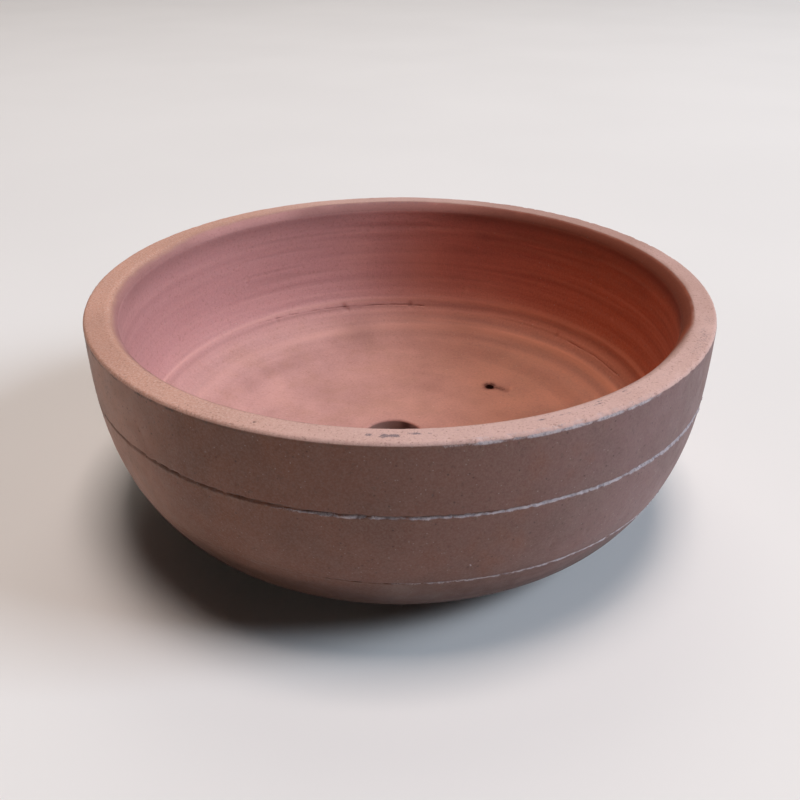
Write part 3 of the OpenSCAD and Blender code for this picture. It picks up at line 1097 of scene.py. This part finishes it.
def fired_clay(name):
    """The pot's clay, one shader: the mesh's marks say where it is inside, rim, dusty or worn, and
    where painted shade and painted highlights lie.
    """
    clay = Clay(name)
    inside, rim = clay.mark("inside"), clay.mark("rim")
    colour = clay.mix(inside, outside_colour(clay), inside_colour(clay))
    colour = clay.mix(rim, colour, rim_colour(clay))
    shade = clay.mix(inside, OUTSIDE_SHADE, INSIDE_SHADE)
    # Painted shade in pits, scored lines, the crack and round holes, and some stains
    colour = clay.tint(colour, clay.ragged("stain", 0.8), 0.7, shade)
    # Pale dusty grains, partly painted highlights
    pale = clay.mix(clay.clouds(1.0, 2, 0.6, 0.5, 0.66), *DUST_AND_HIGHLIGHT)
    thick = clay.step(clay.mark("dust"), 0.15, 0.85, 0.4, 1.0)
    colour = clay.tint(colour, clay.ragged("dust", 0.5), thick, pale)
    colour = clay.tint(colour, clay.ragged("ash", 0.6), 0.75, ASH)
    rough = clay.step(clay.noise(6, 4, 0.6), 0.3, 0.7, 0.52, 0.66)
    rough = clay.math("MAXIMUM", rough, clay.times(inside, 0.78))
    rough = clay.math("MAXIMUM", rough, clay.times(rim, 0.88))
    grains = clay.times(clay.noise(0.6, 2, 0.6), 0.5)
    height = clay.math("ADD", grains, clay.times(clay.noise(2.4, 3, 0.6), 0.9))
    strength = clay.math("ADD", 0.35, clay.times(rim, 0.45))
    bump_inputs = {"Height": height, "Strength": strength, "Distance": 0.22 * MM}
    bump = clay.node("ShaderNodeBump", bump_inputs)
    shader = clay.node("ShaderNodeBsdfPrincipled", {
        "Base Color": colour, "Roughness": rough, "Normal": bump.outputs[0],
        "Specular IOR Level": 0.38, "Sheen Weight": 0.03, "Sheen Roughness": 0.4,
    })
    return clay.finished(shader)


# ---- Studio
CAMERA_RADII = 2.99             # distance from the middle of the rim, in rim radii
CAMERA_ELEVATION = 21.6         # of the camera above the rim's plane, in degrees
CAMERA_DOWN = 28.96             # how far below the horizon it looks, in degrees
CAMERA_LENS = 40.5
LIGHT_DISTANCE = 5.6            # metres, the same for every light
FLOOR_HALF = 6.0                # metres, half a side of the studio floor


def make_camera():
    camera = add_object("camera", bpy.data.cameras.new("camera"))
    camera.data.lens = CAMERA_LENS
    camera.data.clip_start = 0.01
    reach = CAMERA_RADII * BELLY_R * MM
    up = math.radians(CAMERA_ELEVATION)
    camera.location = (0, -reach * math.cos(up), POT_H * MM + reach * math.sin(up))
    camera.rotation_euler = (math.radians(90 - CAMERA_DOWN), 0, 0)
    bpy.context.scene.camera = camera


def make_light(name, azimuth, elevation, width, height, colour, power):
    """A soft area light aimed at the pot. Azimuth 0 is on the +X side, and 90 is behind it."""
    data = bpy.data.lights.new(name, "AREA")
    data.shape = "RECTANGLE"
    data.size = width
    data.size_y = height
    data.color = colour
    data.energy = power
    light = add_object(name, data)
    a, e = math.radians(azimuth), math.radians(elevation)
    towards = Vector((math.cos(a) * math.cos(e), math.sin(a) * math.cos(e), math.sin(e)))
    light.location = Vector((0, 0, POT_H / 2 * MM)) + LIGHT_DISTANCE * towards
    light.rotation_euler = towards.to_track_quat("Z", "Y").to_euler()


def make_floor():
    """A plain pale studio floor."""
    mesh = bpy.data.meshes.new("studio_floor")
    corners = [(x * FLOOR_HALF, y * FLOOR_HALF, 0) for x, y in ((-1, -1), (1, -1), (1, 1), (-1, 1))]
    mesh.from_pydata(corners, [], [(0, 1, 2, 3)])
    paper = Clay("studio_paper")
    tone = paper.clouds(300, 2, 0.5, 0.3, 0.7)
    colour = paper.mix(tone, rgb(0.80, 0.79, 0.78), rgb(0.82, 0.81, 0.80))
    shader = paper.node("ShaderNodeBsdfPrincipled", {"Base Color": colour, "Roughness": 0.9})
    mesh.materials.append(paper.finished(shader))
    add_object("studio_floor", mesh)


def make_world(behind, light):
    """A pale plain backdrop behind the floor, that gives the pot only a little light."""
    world = bpy.data.worlds.new("studio")
    world.use_nodes = True
    nodes, links = world.node_tree.nodes, world.node_tree.links
    background = nodes["Background"]
    background.inputs["Strength"].default_value = light
    backdrop = nodes.new("ShaderNodeBackground")
    backdrop.inputs["Color"].default_value = behind
    seen = nodes.new("ShaderNodeLightPath").outputs["Is Camera Ray"]
    chosen = nodes.new("ShaderNodeMixShader")
    for i, output in enumerate((seen, background.outputs[0], backdrop.outputs[0])):
        links.new(output, chosen.inputs[i])
    links.new(chosen.outputs[0], nodes["World Output"].inputs["Surface"])
    bpy.context.scene.world = world


# ---- The pot
def build_pot():
    make_piece("rim_ring", "rim_clay", *sweep(rim_rings()))
    make_piece("wall_ring", "wall_clay", *sweep(wall_rings()))
    rings, tie_under, tie_floor = base_rings()
    points, faces, values = sweep(rings)
    faces = drill_tie_holes(rings, tie_under, tie_floor, points, faces)
    make_piece("base_dish", "base_clay", *without_loose(points, faces, values))
    for node in ("foot_1", "foot_2", "foot_3"):
        make_piece(node, "foot_clay", *foot_shell(node))


make_camera()
make_floor()
make_world(rgb(0.62, 0.61, 0.60), 0.04)
make_light("key_light", -8, 35, 2.0, 2.0, (0.76, 0.87, 1.0), 222)
make_light("top_light", 0, 86, 1.8, 1.8, (1.0, 0.87, 0.81), 180)
make_light("back_light", 90, 55, 3.2, 3.2, (1.0, 0.94, 0.85), 56)
make_light("left_light", 186, 14, 3.2, 1.4, (1.0, 0.93, 0.86), 15)
build_pot()
bpy.context.scene.view_settings.view_transform = "Standard"
